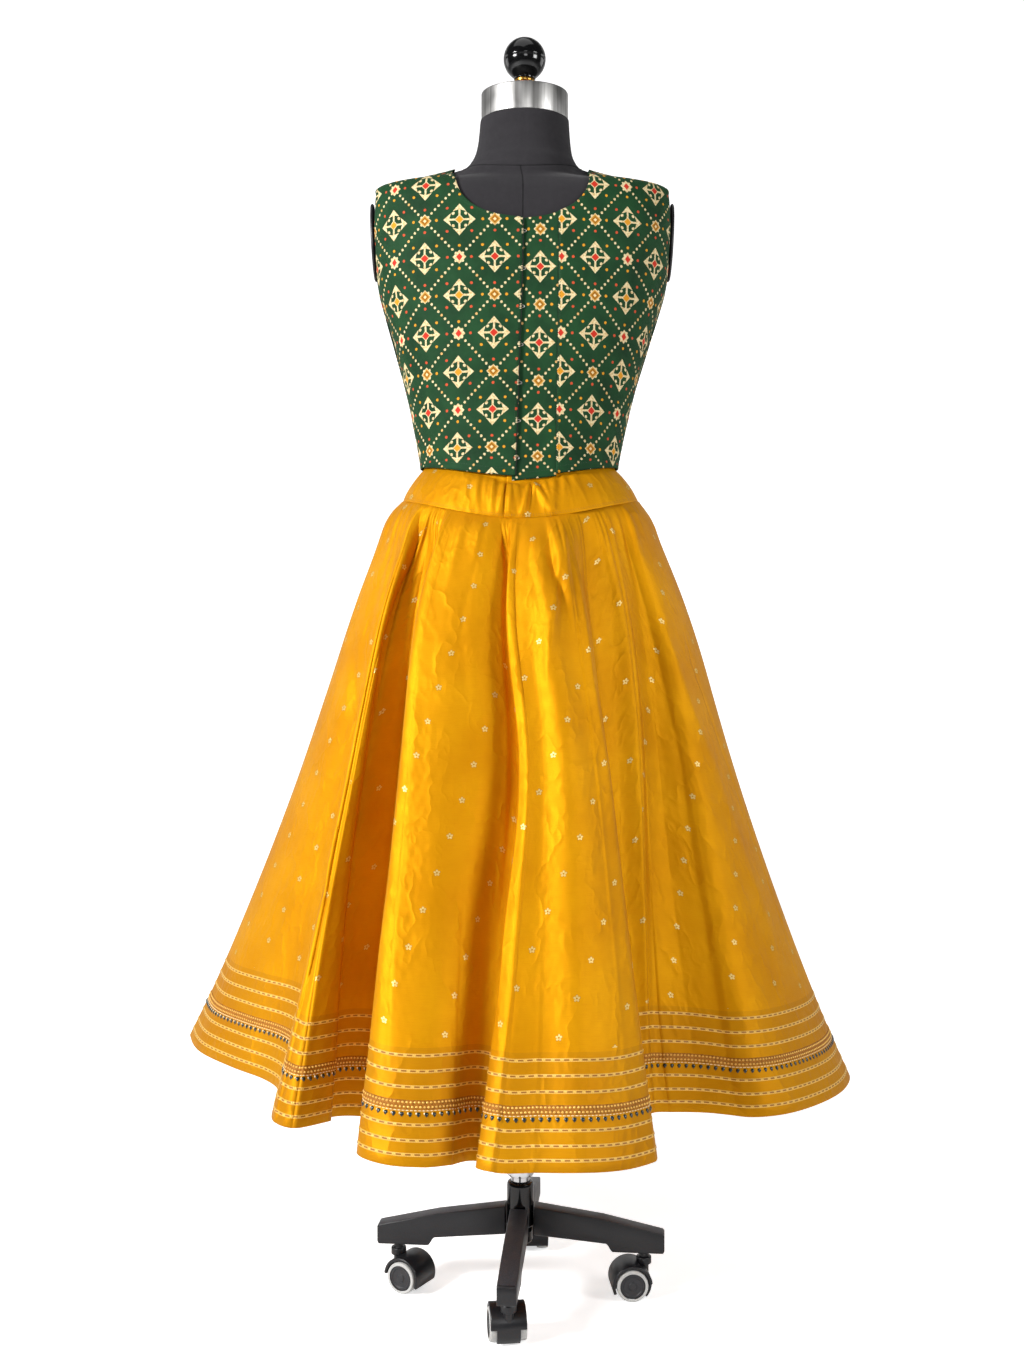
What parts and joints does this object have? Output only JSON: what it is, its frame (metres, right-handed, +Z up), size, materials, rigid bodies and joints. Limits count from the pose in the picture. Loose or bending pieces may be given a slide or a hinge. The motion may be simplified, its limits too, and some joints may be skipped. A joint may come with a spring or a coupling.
{
  "type": "lehenga set on dress form",
  "caption": "Printed sleeveless choli with a hooked back over a flared silk lehenga with woven borders, worn by a limbless dress form on a castor stand.",
  "frame": {"origin": "on the floor, on the axis of the pole, under the middle of the set", "axes": "+Z up along the pole; -Y is the side with the back opening of the choli, as pictured; +X is to the right seen from -Y"},
  "size_m": [0.8379, 0.8371, 1.566],
  "materials": {
    "form_cloth": "matte stretch jersey",
    "arm_plate": "satin black",
    "cap_steel": "brushed upright",
    "brass": "polished",
    "gloss_black": "gloss",
    "chrome": "polished",
    "stand_plastic": "satin black",
    "wheel": "light grey tread with a black disc",
    "print_cloth": "matte, printed",
    "satin": "silk satin with woven flowers and borders"
  },
  "bodies": {
    "set_on_form": {"torso_form": "form_cloth", "arm_plate_left": "arm_plate", "arm_plate_right": "arm_plate", "neck_cap": "cap_steel", "knob_stem": "brass", "knob": "gloss_black", "pole": "chrome", "pole_collar": "chrome", "hub": "gloss_black", "leg_front": "stand_plastic", "leg_right": "stand_plastic", "leg_back": "stand_plastic", "leg_left": "stand_plastic", "choli_back_left": "print_cloth", "choli_back_right": "print_cloth", "choli_front": "print_cloth", "choli_placket": "print_cloth", "skirt_yoke_left": "satin", "skirt_yoke_right": "satin", "skirt_panel_1": "satin", "skirt_panel_2": "satin", "skirt_panel_3": "satin", "skirt_panel_4": "satin", "skirt_panel_5": "satin", "skirt_panel_6": "satin", "skirt_panel_7": "satin"},
    "castor_front": {"castor_front": "stand_plastic"},
    "wheel_front_1": {"wheel_front_1": "wheel"},
    "wheel_front_2": {"wheel_front_2": "wheel"},
    "castor_right": {"castor_right": "stand_plastic"},
    "wheel_right_1": {"wheel_right_1": "wheel"},
    "wheel_right_2": {"wheel_right_2": "wheel"},
    "castor_back": {"castor_back": "stand_plastic"},
    "wheel_back_1": {"wheel_back_1": "wheel"},
    "wheel_back_2": {"wheel_back_2": "wheel"},
    "castor_left": {"castor_left": "stand_plastic"},
    "wheel_left_1": {"wheel_left_1": "wheel"},
    "wheel_left_2": {"wheel_left_2": "wheel"}
  },
  "joints": [
    {"name": "castor_front_swivel", "type": "hinge", "parent": "set_on_form", "child": "castor_front", "pos_m": [-0.01468, -0.15531, 0.05], "axis": [0, 0, 1], "continuous": true},
    {"name": "wheel_front_1_spin", "type": "hinge", "parent": "castor_front", "child": "wheel_front_1", "pos_m": [-0.01664, -0.13842, 0.01962], "axis": [0.9934, 0.1149, 0], "continuous": true},
    {"name": "wheel_front_2_spin", "type": "hinge", "parent": "castor_front", "child": "wheel_front_2", "pos_m": [-0.01664, -0.13842, 0.01962], "axis": [0.9934, 0.1149, 0], "continuous": true},
    {"name": "castor_right_swivel", "type": "hinge", "parent": "set_on_form", "child": "castor_right", "pos_m": [0.15531, -0.01468, 0.05], "axis": [0, 0, 1], "continuous": true},
    {"name": "wheel_right_1_spin", "type": "hinge", "parent": "castor_right", "child": "wheel_right_1", "pos_m": [0.13836, -0.01604, 0.01962], "axis": [-0.0802, 0.9968, 0], "continuous": true},
    {"name": "wheel_right_2_spin", "type": "hinge", "parent": "castor_right", "child": "wheel_right_2", "pos_m": [0.13836, -0.01604, 0.01962], "axis": [-0.0802, 0.9968, 0], "continuous": true},
    {"name": "castor_back_swivel", "type": "hinge", "parent": "set_on_form", "child": "castor_back", "pos_m": [0.01468, 0.15531, 0.05], "axis": [0, 0, 1], "continuous": true},
    {"name": "wheel_back_1_spin", "type": "hinge", "parent": "castor_back", "child": "wheel_back_1", "pos_m": [0.01545, 0.13833, 0.01962], "axis": [-0.999, -0.0454, 0], "continuous": true},
    {"name": "wheel_back_2_spin", "type": "hinge", "parent": "castor_back", "child": "wheel_back_2", "pos_m": [0.01545, 0.13833, 0.01962], "axis": [-0.999, -0.0454, 0], "continuous": true},
    {"name": "castor_left_swivel", "type": "hinge", "parent": "set_on_form", "child": "castor_left", "pos_m": [-0.15531, 0.01468, 0.05], "axis": [0, 0, 1], "continuous": true},
    {"name": "wheel_left_1_spin", "type": "hinge", "parent": "castor_left", "child": "wheel_left_1", "pos_m": [-0.14064, 0.00608, 0.01962], "axis": [-0.506, -0.8625, 0], "continuous": true},
    {"name": "wheel_left_2_spin", "type": "hinge", "parent": "castor_left", "child": "wheel_left_2", "pos_m": [-0.14064, 0.00608, 0.01962], "axis": [-0.506, -0.8625, 0], "continuous": true}
  ]
}
